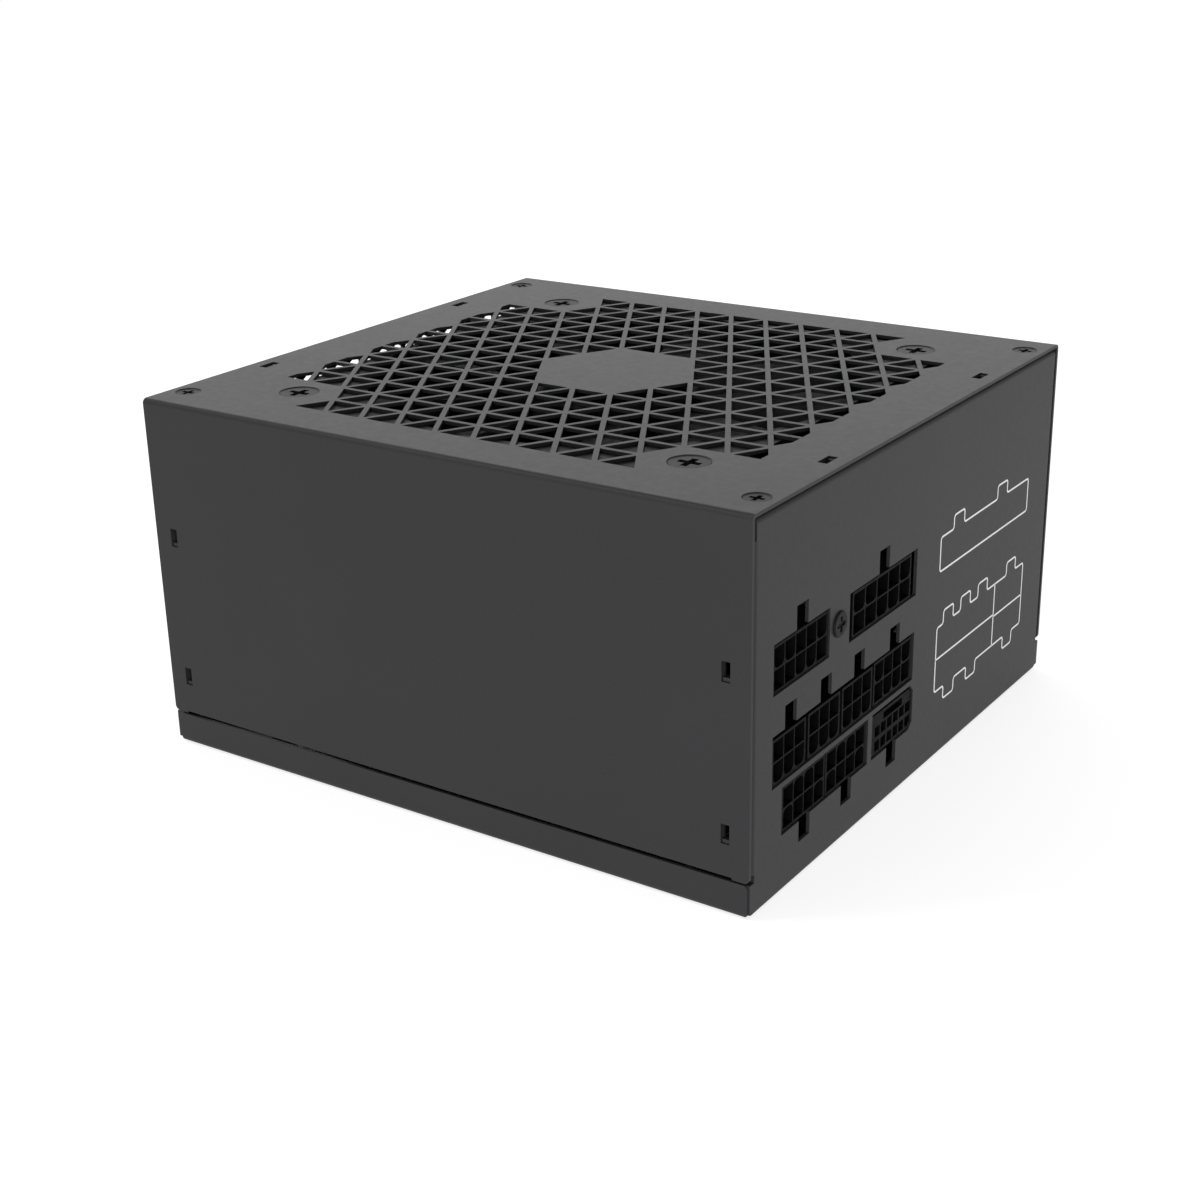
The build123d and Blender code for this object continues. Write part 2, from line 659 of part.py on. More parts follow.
def make_modular_board():
    low_x, high_x, low_z, high_z = MODULAR_BOARD
    pin_front = SOCKET_FACE + 1.8
    pin_back = BOARD_FACE + BOARD + 1.4
    with BuildPart() as modular_board:
        block((low_x, BOARD_FACE, low_z), (high_x, BOARD_FACE + BOARD, high_z))
        with BuildSketch(Plane.XZ.offset(-BOARD_FACE)):
            with Locations(*pin_places()):
                Circle(0.8)
            with Locations(PANEL_SCREW_PLACE):
                Circle(1.6)
        extrude(amount=-2 * BOARD, mode=Mode.SUBTRACT)
    save(modular_board, "modular_board")
    with BuildPart() as socket_pins:
        with BuildSketch(Plane.XZ.offset(-pin_front)):
            with Locations(*pin_places()):
                Rectangle(PIN, PIN)
        extrude(amount=pin_front - pin_back)
    save(socket_pins, "socket_pins")
    with BuildPart() as panel_pillar:
        with BuildSketch(Plane.XZ.offset(-(FRONT + SHEET))):
            with Locations(PANEL_SCREW_PLACE):
                RegularPolygon(2.9, 6, major_radius=False)
                Circle(1.6, mode=Mode.SUBTRACT)
        extrude(amount=-(BOARD_FACE - FRONT - SHEET))
    save(panel_pillar, "panel_pillar")


# ---------------------------------------------------------------- mains inlet and switch


def make_ac_inlet():
    flange_face = REAR - SHEET
    flange_back = flange_face - 2.3
    cavity_depth = 16.4
    blade_places = ((-7, -2), (7, -2), (0, 2))
    with BuildPart() as ac_inlet:
        with BuildSketch(Plane.XZ.offset(-flange_face)):
            with Locations(INLET_PLACE):
                RectangleRounded(48, 23, 3)
                with GridLocations(INLET_SCREW_PITCH, 1, 2, 1):
                    Circle(1.35, mode=Mode.SUBTRACT)
        extrude(amount=flange_face - flange_back)
        with BuildSketch(Plane.XZ.offset(-REAR)):
            with Locations(INLET_PLACE):
                add(inlet_outline(*INLET_NOSE, INLET_CORNER))
        extrude(amount=REAR - INLET_BACK)
        with BuildSketch(Plane.XZ.offset(-REAR)):
            with Locations(INLET_PLACE):
                add(inlet_outline(24.2, 16.4, 4.0))
        extrude(amount=cavity_depth, mode=Mode.SUBTRACT)
        with BuildSketch(Plane.XZ.offset(-REAR)):
            with Locations(INLET_PLACE):
                with Locations(*blade_places):
                    Rectangle(2 + 2 * FIT, 4 + 2 * FIT)
        extrude(amount=REAR - INLET_BACK + 1, mode=Mode.SUBTRACT)
    save(ac_inlet, "ac_inlet")
    with BuildPart() as inlet_blades:
        with BuildSketch(Plane.XZ.offset(-(REAR - 2.5))):
            with Locations(INLET_PLACE):
                with Locations(*blade_places):
                    Rectangle(2, 4)
        extrude(amount=REAR - 2.5 - INLET_BACK + 1)
        chamfer(inlet_blades.faces().group_by(Axis.Y)[-1].edges(), 0.5)
        with BuildSketch(Plane.XZ.offset(-INLET_BACK)):
            with Locations(INLET_PLACE):
                with Locations(*blade_places):
                    Rectangle(0.8, 4)
        extrude(amount=INLET_BACK - FILTER_BOARD_Y + 1.5)
    save(inlet_blades, "inlet_blades")


def make_switch():
    """Rocker switch: a snap-in housing, its rocker resting at one stop, and the terminals behind."""
    x, z = SWITCH_PLACE
    bezel = 1.9
    back = REAR - 13.0
    window_half = 8.0
    rocker_half = 5.4
    with BuildPart() as switch_body:
        block((x - 6.5, back, z - 9.6), (x + 6.5, REAR, z + 9.6))
        with BuildSketch(Plane.XZ.offset(-(REAR + bezel))):
            with Locations(SWITCH_PLACE):
                RectangleRounded(15, 21, 1.2)
        extrude(amount=bezel, taper=-12)
        low = (x - rocker_half - 0.2, back + 3, z - window_half)
        high = (x + rocker_half + 0.2, REAR + 5, z + window_half)
        block(low, high, Mode.SUBTRACT)
        with Locations(Plane.YZ.offset(x)):
            with Locations((ROCKER_PIVOT_Y, z, 0)):
                Cylinder(1.25, 12.4, mode=Mode.SUBTRACT)
        with Locations(*[(x, back, z + dz) for dz in (-6, 0, 6)]):
            Box(4.8 + 2 * FIT, 8, 0.8 + 2 * FIT, mode=Mode.SUBTRACT)
        for side in (-1, 1):
            clip = (x + side * 6.5, x + side * 7.2)
            block((min(clip), REAR - 5, z - 2.5), (max(clip), REAR - SHEET - 0.3, z + 2.5))
    save(switch_body, "switch_body")
    tilt = radians(ROCKER_TILT)
    resting = Plane(origin=(x, ROCKER_PIVOT_Y, z), x_dir=(0, cos(tilt), sin(tilt)), z_dir=(1, 0, 0))
    with BuildPart() as rocker_button:
        with BuildSketch(resting):
            with BuildLine():
                lower = [(-3.2, -3.0), (0.5, -7.0), (3.3, -7.0)]
                upper = [(3.3, 7.0), (0.5, 7.0), (-3.2, 3.0)]
                Polyline(*lower, (2.1, 0), *upper, close=True)
            make_face()
        extrude(amount=rocker_half, both=True)
        long_edges = rocker_button.edges().filter_by(Axis.X).group_by(Axis.Y)[-1]
        fillet(long_edges, 0.6)
        with BuildSketch(resting):
            Circle(1.25 - RUNNING_GAP)
        extrude(amount=6.1, both=True)
    save(rocker_button, "rocker_button")
    with BuildPart() as switch_terminals:
        for dz in (-6, 0, 6):
            block((x - 2.4, back - 8, z + dz - 0.4), (x + 2.4, back + 2.8, z + dz + 0.4))
    save(switch_terminals, "switch_terminals")


def lead(points, radius):
    """A round lead along straight runs joined by arcs as large as the runs allow."""
    corners = [Vector(*point) for point in points]
    bends = []
    for before, here, after in zip(corners, corners[1:], corners[2:]):
        arriving = here - before
        leaving = after - here
        half_turn = radians(arriving.get_angle(leaving)) / 2
        bends.append(0.45 * min(arriving.length, leaving.length) / tan(half_turn))
    print("lead bends", [round(bend, 1) for bend in bends])
    with BuildPart() as tube:
        with BuildLine() as path:
            FilletPolyline(*corners, radius=bends)
        with BuildSketch(Plane(corners[0], z_dir=corners[1] - corners[0])):
            Circle(radius)
        sweep()
    return tube.part


def make_mains_wiring():
    inlet_x, inlet_z = INLET_PLACE
    switch_x, switch_z = SWITCH_PLACE
    board_back = FILTER_BOARD_Y - BOARD
    with BuildPart() as filter_board:
        block((inlet_x - 20, board_back, inlet_z - 16), (inlet_x + 20, FILTER_BOARD_Y, inlet_z + 14))
        for dx, dz in ((-7, -2), (7, -2), (0, 2)):
            with Locations((inlet_x + dx, board_back, inlet_z + dz)):
                Box(1.2, 6, 4.4, mode=Mode.SUBTRACT)
    save(filter_board, "filter_board")
    with BuildPart() as filter_capacitors:
        block((inlet_x - 11, board_back - 9, inlet_z - 15), (inlet_x + 9, board_back, inlet_z - 6))
        fillet(filter_capacitors.edges().group_by(Axis.Y)[0], 0.8)
        for dx in (-15, 15):
            with BuildSketch(Plane.YZ.offset(inlet_x + dx)):
                with Locations((board_back - 5, inlet_z + 5)):
                    Circle(4.2)
            extrude(amount=1.6, both=True)
            with Locations((inlet_x + dx, board_back - 2.5, inlet_z + 5)):
                Box(0.8, 5, 0.8)
    save(filter_capacitors, "filter_capacitors")
    terminal_y = REAR - 13 - 8
    with BuildPart() as mains_leads:
        for dz, board_z in ((6, 50), (0, 44)):
            halfway = (switch_z + dz + board_z) / 2
            route = [
                (switch_x, terminal_y, switch_z + dz),
                (switch_x, terminal_y - 9, switch_z + dz),
                (switch_x + 9, terminal_y - 17, halfway),
                (inlet_x - 18.5, board_back - 9, board_z),
                (inlet_x - 18.5, board_back, board_z),
            ]
            add(lead(route, 1.1))
    save(mains_leads, "mains_leads")
    earth_x, earth_y = EARTH_PLACE
    with BuildPart() as earth_lead:
        add(lead([
            (inlet_x + 18, board_back, inlet_z + 9),
            (inlet_x + 18, board_back - 7, inlet_z + 9),
            (earth_x + 4.5, board_back - 8, inlet_z - 2),
            (earth_x + 5, board_back + 4, inlet_z - 18),
            (earth_x + 3, earth_y - 7.4, 9.5),
            (earth_x, earth_y - 4.4, FLOOR + 2),
        ], 1.2))
        rod(EARTH_PLACE, 4.5, FLOOR, FLOOR + 1.0)
        rod(EARTH_PLACE, 1.8, FLOOR - 1, FLOOR + 5, Mode.SUBTRACT)
    save(earth_lead, "earth_lead")


# ---------------------------------------------------------------- main board


def make_main_board():
    with BuildPart() as main_board:
        with BuildSketch(Plane.XY.offset(BOARD_LOW)):
            with Locations((0, BOARD_CENTRE_Y)):
                RectangleRounded(*BOARD_SIZE, 1.5)
            with Locations(*STANDOFF_PLACES):
                Circle(1.6, mode=Mode.SUBTRACT)
        extrude(amount=BOARD)
    save(main_board, "main_board")
    with BuildPart() as board_standoffs:
        for place in STANDOFF_PLACES:
            rod(place, 2.8, FLOOR, BOARD_LOW)
            rod(place, 1.3 + FIT, FLOOR + 0.8, BOARD_LOW + 1, Mode.SUBTRACT)
    save(board_standoffs, "board_standoffs")


def toroid(place, axis, inner, outer, width):
    """A ring core standing on edge, or lying flat, about its own axis."""
    with BuildPart() as core:
        with BuildSketch(Plane(origin=place, z_dir=axis)):
            Circle(outer)
            Circle(inner, mode=Mode.SUBTRACT)
        extrude(amount=width / 2, both=True)
        fillet(core.edges(), 0.8)
    return core.part


def coil_turns(place, axis, inner, outer, width, wire, angles):
    """Separate wire turns round a ring core, at the given angles."""
    middle = (inner + outer) / 2
    core = Plane(origin=place, z_dir=axis).location
    with BuildPart() as turns:
        for angle in angles:
            section = core * Rotation(0, 0, angle) * Pos(middle, 0, 0) * Rotation(90, 0, 0)
            with BuildSketch(Plane(section)):
                RectangleRounded(outer - inner + 2 * wire + 0.4, width + 2 * wire + 0.4, wire)
                Rectangle(outer - inner + 0.3, width + 0.3, mode=Mode.SUBTRACT)
            extrude(amount=wire / 2, both=True)
    return turns.part


def make_filter_chokes():
    size = (5.5, 10.5, 9.0)
    wire = 1.2
    places = ((58, 26, BOARD_TOP + 12.4), (37, 26, BOARD_TOP + 12.4))
    angles = [side + step * 13 for side in (-60, 120) for step in range(10)]
    with BuildPart() as filter_choke_cores:
        for place in places:
            add(toroid(place, (1, 0, 0), *size))
    save(filter_choke_cores, "filter_choke_cores")
    with BuildPart() as filter_choke_windings:
        for place in places:
            add(coil_turns(place, (1, 0, 0), *size, wire, angles))
    save(filter_choke_windings, "filter_choke_windings")


def make_boost_choke():
    place = (53, 4, BOARD_TOP + 16.8)
    size = (7.5, 14.5, 13.0)
    wire = 1.5
    with BuildPart() as boost_choke_core:
        add(toroid(place, (0, 1, 0), *size))
    save(boost_choke_core, "boost_choke_core")
    with BuildPart() as boost_choke_winding:
        add(coil_turns(place, (0, 1, 0), *size, wire, [step * 14 for step in range(24)]))
    save(boost_choke_winding, "boost_choke_winding")


def make_heatsink(name, place, length, height, reach, fins):
    """A finned aluminium plate standing along Y, fins towards reach."""
    x, y = place
    thickness = 3.0
    with BuildPart() as heatsink:
        block((x, y - length / 2, BOARD_TOP), (x + thickness, y + length / 2, BOARD_TOP + height))
        for fin in range(fins):
            z = BOARD_TOP + height - 1.2 - fin * 5.0
            across = sorted((x + thickness / 2, x + thickness / 2 + reach))
            block((across[0], y - length / 2, z - 0.6), (across[1], y + length / 2, z + 0.6))
    save(heatsink, name)


def transistor_row(name, face_x, places, side):
    """Power transistors flat against a heatsink face, each on three legs."""
    thickness = 4.4
    with BuildPart() as row:
        for y in places:
            across = sorted((face_x, face_x + side * thickness))
            block((across[0], y - 5, BOARD_TOP + 6), (across[1], y + 5, BOARD_TOP + 21))
            middle = face_x + side * thickness / 2
            for dy in (-2.5, 0, 2.5):
                block((middle - 0.3, y + dy - 0.5, BOARD_TOP), (middle + 0.3, y + dy + 0.5, BOARD_TOP + 6))
    save(row, name)


def can(place, radius, height):
    """An electrolytic capacitor: a sleeve with a rolled groove, a domed edge and a scored top."""
    with BuildPart() as body:
        rod((0, 0), radius, 0, height)
        fillet(body.edges().group_by(Axis.Z)[-1], min(1.0, radius * 0.2))
        with BuildSketch(Plane.XZ):
            with Locations((radius + 0.3, 2.2)):
                Circle(0.7)
        revolve(axis=Axis.Z, mode=Mode.SUBTRACT)
        for angle in (0, 120, 240):
            with BuildSketch(Plane.XY.rotated((0, 0, angle)).offset(height)):
                with Locations((radius * 0.35, 0)):
                    Rectangle(radius * 0.8, 0.3)
            extrude(amount=-0.3, mode=Mode.SUBTRACT)
    return body.part.moved(Location((*place, BOARD_TOP)))


def make_capacitors():
    with BuildPart() as bulk_capacitor:
        add(can((52, -34), 15, 46))
    save(bulk_capacitor, "bulk_capacitor")
    with BuildPart() as output_capacitors:
        for x in (-60, -48.5, -37):
            for y in (-50, -38.5):
                add(can((x, y), 5, 20))
    save(output_capacitors, "output_capacitors")
    with BuildPart() as solid_capacitors:
        for x in (-66, -56, -46, -36):
            add(can((x, -28), 4, 11))
    save(solid_capacitors, "solid_capacitors")


def make_transformers(core_name, winding_name, sizes):
    """Ferrite E-core pairs, each round a taped winding. A size is centre, then length, width, height."""
    low = BOARD_TOP + 2.0
    with BuildPart() as cores:
        for x, y, length, width, height in sizes:
            leg = length * CORE_LEG
            block((x - length / 2, y - width / 2, low), (x + length / 2, y + width / 2, low + height))
            for side in (-1, 1):
                across = sorted((x + side * leg, x + side * (length / 2 - leg)))
                near = (across[0], y - width, low + leg)
                far = (across[1], y + width, low + height - leg)
                block(near, far, Mode.SUBTRACT)
    save(cores, core_name)
    with BuildPart() as windings:
        for x, y, length, width, height in sizes:
            leg = length * CORE_LEG
            reach = length / 4 - leg
            with BuildSketch(Plane.XY.offset(low + leg + FIT)):
                with Locations((x, y)):
                    RectangleRounded(length - 2 * leg - 2 * FIT, width + 4 * reach, reach)
                    Rectangle(2 * leg + 2 * FIT, width + 2 * FIT, mode=Mode.SUBTRACT)
            extrude(amount=height - 2 * leg - 2 * FIT)
            for dx in (-1, 1):
                for end in (-1, 1):
                    foot = (x + dx * leg * 1.5, y + end * (width / 2 + reach))
                    rod(foot, 0.6, BOARD_TOP, low + leg + 1)
    save(windings, winding_name)


def make_blocks():
    """The two film capacitors of the resonant circuit, and the relay that bypasses the inrush limiter."""
    with BuildPart() as resonant_capacitors:
        for y in (42, 50):
            block((0, y - 3, BOARD_TOP), (18, y + 3, BOARD_TOP + 13))
        fillet(resonant_capacitors.edges().group_by(Axis.Z)[-1], 0.8)
    save(resonant_capacitors, "resonant_capacitors")
    with BuildPart() as relay:
        block((43, -16.5, BOARD_TOP), (62, -6, BOARD_TOP + 15))
        chamfer(relay.edges().group_by(Axis.Z)[-1], 0.5)
    save(relay, "relay")


def make_bridge_rectifier():
    x, y = 21, 34
    with BuildPart() as bridge_rectifier:
        block((x, y - 11, BOARD_TOP + 6), (x + 4, y + 11, BOARD_TOP + 24))
        fillet(bridge_rectifier.edges().filter_by(Axis.X), 1.0)
        for dy in (-7.5, -2.5, 2.5, 7.5):
            block((x + 1.6, y + dy - 0.6, BOARD_TOP), (x + 2.4, y + dy + 0.6, BOARD_TOP + 6))
    save(bridge_rectifier, "bridge_rectifier")


def make_converter():
    """Two upright boards that make 3.3 and 5 volts, with their block inductors."""
    with BuildPart() as converter_boards:
        for x in (-60, -42):
            block((x, -16, BOARD_TOP), (x + BOARD, 40, BOARD_TOP + 32))
    save(converter_boards, "converter_boards")
    with BuildPart() as converter_chokes:
        for x in (-60, -42):
            for y in (-6, 8, 22):
                block((x + BOARD, y - 5.5, BOARD_TOP + 14), (x + BOARD + 6.5, y + 5.5, BOARD_TOP + 25))
        fillet(converter_chokes.edges().filter_by(Axis.X), 1.0)
    save(converter_chokes, "converter_chokes")
    with BuildPart() as control_board:
        block((-28, 46, BOARD_TOP), (-6, 46 + BOARD, BOARD_TOP + 24))
        for x, z, length in ((-17, 11, 10), (-22.5, 18, 5), (-13.5, 18, 5)):
            block((x - length / 2, 44.6, BOARD_TOP + z - 2), (x + length / 2, 46, BOARD_TOP + z + 2))
    save(control_board, "control_board")


def make_busbars():
    """Bent copper bars from the main board to the modular board."""
    back = BOARD_FACE + BOARD
    foot = -60.0
    thickness = 1.2
    with BuildPart() as busbars:
        for x in (-57, -43, -29, -15):
            with BuildSketch(Plane.YZ.offset(x)):
                with BuildLine():
                    Polyline(
                        (foot, BOARD_TOP),
                        (foot, 12.0),
                        (back, 12.0),
                        (back, 12.0 + thickness),
                        (foot + thickness, 12.0 + thickness),
                        (foot + thickness, BOARD_TOP),
                        close=True,
                    )
                make_face()
            extrude(amount=3.0, both=True)
    save(busbars, "busbars")


def make_fan_lead():
    plug_x, plug_y = 34.0, -57.0
    with BuildPart() as fan_plug:
        block((plug_x - 3.5, plug_y - 3, BOARD_TOP), (plug_x + 3.5, plug_y + 3, BOARD_TOP + 7))
        fillet(fan_plug.edges().filter_by(Axis.Z), 0.6)
    save(fan_plug, "fan_plug")
    with BuildPart() as fan_lead:
        add(lead([
            (26, -FAN_SIZE / 2, FAN_LOW + 2),
            (26, -67, FAN_LOW + 2),
            (27, -69.5, FAN_LOW - 8),
            (30, -68, 40),
            (33, -61, 30),
            (plug_x, plug_y, 24),
            (plug_x, plug_y, BOARD_TOP + 7),
        ], 1.2))
    save(fan_lead, "fan_lead")


def make_screws():
    below_top = HEIGHT - 0.2
    with BuildPart() as fan_screws:
        with Locations(*[(x, y, below_top) for x, y in FAN_SCREW_PLACES]):
            add(countersunk_screw(FAN_SCREW_HEAD - 0.2, FAN_SCREW_SHANK, 12))
    save(fan_screws, "fan_screws")
    with BuildPart() as cover_screws:
        with Locations(*[(x, y, below_top) for x, y in COVER_SCREW_PLACES]):
            add(countersunk_screw(COVER_SCREW_HEAD - 0.2, COVER_SCREW_SHANK, 6))
    save(cover_screws, "cover_screws")
    flat_screw = pan_screw(2.9, 0.5, 1.3, 7)
    case_screw = pan_screw(2.7, 1.3, 1.3, 7)
    inlet_x, inlet_z = INLET_PLACE
    outwards_rear = Plane(origin=(0, REAR, 0), x_dir=(-1, 0, 0), z_dir=(0, 1, 0))
    with BuildPart() as panel_screws:
        with Locations(Plane.XZ.offset(REAR)):
            with Locations(PANEL_SCREW_PLACE):
                add(flat_screw)
        with Locations(outwards_rear):
            with Locations((-inlet_x, inlet_z)):
                with GridLocations(INLET_SCREW_PITCH, 1, 2, 1):
                    add(case_screw)
    save(panel_screws, "panel_screws")
    board_screw = pan_screw(2.8, 1.6, 1.3, 6)
    with BuildPart() as board_screws:
        with Locations(*[(*place, BOARD_TOP) for place in STANDOFF_PLACES]):
            add(board_screw)
        with Locations((*EARTH_PLACE, FLOOR + 1.0)):
            add(pan_screw(2.8, 1.6, 1.3, 1.6))
    save(board_screws, "board_screws")


def main():
    os.makedirs("parts", exist_ok=True)
    make_top_cover()
    make_fan_grille()
    make_tray()
    make_insulation_sheet()
    make_fan_frame()
    make_fan_motor()
    ring("fan_bearing", SHAFT_RADIUS + RUNNING_GAP, 3.0 - 0.02, FAN_LOW + 1.4, FAN_LOW + 16)
    ring("fan_circuit_board", 4.6, 15.5, FAN_LOW + 2.0, FAN_LOW + 3.2)
    ring("rotor_magnet", 16.3, HUB_RADIUS - HUB_WALL - 0.02, FAN_LOW + 5, FAN_LOW + 15)
    make_fan_impeller()
    make_sockets()
    make_modular_board()
    make_ac_inlet()
    make_switch()
    make_mains_wiring()
    make_main_board()
    make_filter_chokes()
    make_boost_choke()
    make_heatsink("primary_heatsink", (27, -14), 66, 38, -5, 6)
    transistor_row("primary_transistors", 30, (-38, -24, -10, 4), 1)
    make_heatsink("secondary_heatsink", (-24, -16), 60, 34, -6, 5)
    transistor_row("secondary_transistors", -21, (-36, -22, -8, 6), 1)
    make_capacitors()
    make_transformers("transformer_cores", "transformer_windings", TRANSFORMERS)
    make_transformers("resonant_inductor_core", "resonant_inductor_winding", [RESONANT_INDUCTOR])
    make_blocks()
    make_bridge_rectifier()
    make_converter()
    make_busbars()
    make_fan_lead()
    make_screws()


main()
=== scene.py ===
import json
from math import cos, pi, radians, sin

import bmesh
import bpy
from mathutils import Matrix, Vector


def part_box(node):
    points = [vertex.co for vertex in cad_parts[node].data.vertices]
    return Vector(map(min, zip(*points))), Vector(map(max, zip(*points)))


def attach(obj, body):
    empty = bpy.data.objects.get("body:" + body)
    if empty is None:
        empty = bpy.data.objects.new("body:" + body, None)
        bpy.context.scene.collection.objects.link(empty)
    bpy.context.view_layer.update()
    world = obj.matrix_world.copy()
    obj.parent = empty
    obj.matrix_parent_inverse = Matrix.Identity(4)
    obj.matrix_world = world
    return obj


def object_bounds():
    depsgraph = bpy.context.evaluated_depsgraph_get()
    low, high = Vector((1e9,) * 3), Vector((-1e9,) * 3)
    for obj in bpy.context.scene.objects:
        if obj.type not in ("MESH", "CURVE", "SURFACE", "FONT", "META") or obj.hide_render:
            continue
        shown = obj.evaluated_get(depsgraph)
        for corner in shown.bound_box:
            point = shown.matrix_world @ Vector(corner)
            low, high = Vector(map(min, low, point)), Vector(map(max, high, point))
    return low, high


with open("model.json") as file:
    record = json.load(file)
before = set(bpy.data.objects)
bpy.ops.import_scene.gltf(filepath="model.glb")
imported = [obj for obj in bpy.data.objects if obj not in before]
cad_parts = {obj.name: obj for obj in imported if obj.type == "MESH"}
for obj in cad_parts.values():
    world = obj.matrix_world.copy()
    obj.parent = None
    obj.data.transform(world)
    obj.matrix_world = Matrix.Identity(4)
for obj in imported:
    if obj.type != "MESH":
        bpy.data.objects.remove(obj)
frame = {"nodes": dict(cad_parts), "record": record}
cad_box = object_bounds()
nodes = frame["nodes"]

# Camera: angles in degrees, places in metres, focal length and sensor in millimetres
CAMERA_AZIMUTH = -55.57
CAMERA_ELEVATION = 21.48
CAMERA_ROLL = -1.18
CAMERA_DISTANCE = 0.46962
CAMERA_SLIDE = (-0.00492, 0.01419)
CAMERA_LENS = 57.645
CAMERA_SENSOR = 36

# Printed outlines on the socket panel, in millimetres; a tab is its low and high x
PRINT_LEFT = 10.5
PRINT_RIGHT = 60.8
UPPER_LOW, UPPER_HIGH, UPPER_TAB_TOP = 47.2, 55.5, 58.8
UPPER_TABS = ((17.3, 23.0), (42.0, 47.7))
LOWER_LOW, LOWER_HIGH, LOWER_TAB_TOP, LOWER_TAB_BOTTOM = 17.3, 33.5, 36.8, 14.0
LOWER_TABS_ABOVE = ((13.8, 19.2), (23.4, 28.8), (33.3, 38.7), (50.3, 55.7))
LOWER_TABS_BELOW = ((15.5, 21.2), (28.3, 33.7), (50.3, 55.7))
DIVIDER = 43.5
LEFT_SHELF = 25.5
RIGHT_SHELF = 25.0

# Printed lines and marks, in millimetres unless they say metres
LINE_WIDTH = 0.45
LINE_CORNER = 0.8
CORNER_STEPS = 4
INK_THICKNESS = 0.00003  # metres
RING_RADII = (0.0017, 0.0012)  # metres
RING_STEPS = 32
BAR_HALF = (0.0003, 0.0016)  # metres
RAY_START = 0.01  # metres

# Edge softening of the moulded parts
EDGE_WIDTH = 0.2
EDGE_ANGLE = 40
WELD_REACH = 1e-6  # metres

# Studio, in metres; powers in watts
FLOOR_REACH = 30.0
FLOOR_LEVEL = -0.0002
WORLD_AS_LIGHT = 0.6
WORLD_AS_BACKGROUND = 1.0
SOFT_LIGHTS = (
    # name, place, target, width, height, power
    ("back_softbox", (1.2, 1.0, 0.8), (0, 0, 0), 2.2, 1.2, 10.6),
    ("edge_light", (-0.8, 1.0, 1.5), (-0.075, 0, 0.086), 0.5, 0.3, 8.0),
    ("low_fill", (-0.45, -0.30, 0.05), (-0.075, -0.1, 0.04), 0.3, 0.1, 1.2),
)


# ---------------------------------------------------------------- camera

def aim_camera():
    """Camera that looks at the middle of the case, slid right and down by a few millimetres."""
    a, e, r = radians(CAMERA_AZIMUTH), radians(CAMERA_ELEVATION), radians(CAMERA_ROLL)
    right, down = CAMERA_SLIDE
    back = Vector((sin(a) * cos(e), -cos(a) * cos(e), sin(e)))
    side = Vector((cos(a), sin(a), 0))
    below = side.cross(back)
    low, high = cad_box
    middle = Vector((0, 0, (low.z + high.z) / 2))
    camera = bpy.data.objects.new("camera", bpy.data.cameras.new("camera"))
    bpy.context.scene.collection.objects.link(camera)
    camera.location = middle + back * CAMERA_DISTANCE + side * right + below * down
    x = side * cos(r) - below * sin(r)
    y = -(side * sin(r) + below * cos(r))
    camera.rotation_euler = Matrix((x, y, back)).transposed().to_euler()
    camera.data.sensor_width = CAMERA_SENSOR
    camera.data.lens = CAMERA_LENS
    camera.data.clip_start = 0.01
    camera.data.clip_end = 50
    bpy.context.scene.camera = camera


aim_camera()


# ---------------------------------------------------------------- materials

class Nodes:
    """A node tree built from short calls."""

    def __init__(self, tree):
        self.tree = tree

    def add(self, kind, settings=None, **inputs):
        node = self.tree.nodes.new("ShaderNode" + kind)
        for name, value in (settings or {}).items():
            setattr(node, name, value)
        for name, value in inputs.items():
            self.put(node.inputs[name.replace("_", " ")], value)
        return node

    def put(self, socket, value):
        if isinstance(value, bpy.types.NodeSocket):
            self.tree.links.new(value, socket)
        else:
            socket.default_value = value

    def math(self, operation, *values):
        node = self.add("Math", {"operation": operation})
        for socket, value in zip(node.inputs, values):
            self.put(socket, value)
        return node.outputs[0]

    def stretch(self, value, low, high, to_low, to_high):
        node = self.add("MapRange", {"clamp": True})
        for socket, number in zip(node.inputs, (value, low, high, to_low, to_high)):
            self.put(socket, number)
        return node.outputs[0]

    def mix(self, factor, first, second):
        node = self.add("Mix", {"data_type": "RGBA"})
        self.put(node.inputs["Factor"], factor)
        self.put(node.inputs[6], first)
        self.put(node.inputs[7], second)
        return node.outputs[2]

    def places(self, scale=(1, 1, 1)):
        """Object coordinates in millimetres, stretched if a scale is given."""
        coordinates = self.add("TexCoord").outputs["Object"]
        mapping = self.add("Mapping", Vector=coordinates)
        mapping.inputs["Scale"].default_value = [1000 * s for s in scale]
        return mapping.outputs[0]

    def noise(self, per_mm, detail=2.0, scale=(1, 1, 1), roughness=0.5):
        places = self.places(scale)
        node = self.add("TexNoise", Vector=places, Scale=per_mm, Detail=detail, Roughness=roughness)
        return node.outputs[0]

    def bump(self, height, strength, depth_mm, normal=None):
        node = self.add("Bump", Height=height, Strength=strength, Distance=depth_mm / 1000)
        if normal is not None:
            self.put(node.inputs["Normal"], normal)
        return node.outputs[0]


def grey(level, tint=0.0):
    return (level, level, level * (1 + tint), 1)


def material(name, metallic=0.0, specular=0.5, coat=0.0, coat_roughness=0.1):
    made = bpy.data.materials.new(name)
    made.use_nodes = True
    build = Nodes(made.node_tree)
    shader = made.node_tree.nodes["Principled BSDF"]
    shader.inputs["Metallic"].default_value = metallic
    shader.inputs["Specular IOR Level"].default_value = specular
    shader.inputs["Coat Weight"].default_value = coat
    shader.inputs["Coat Roughness"].default_value = coat_roughness
    return made, build, shader.inputs


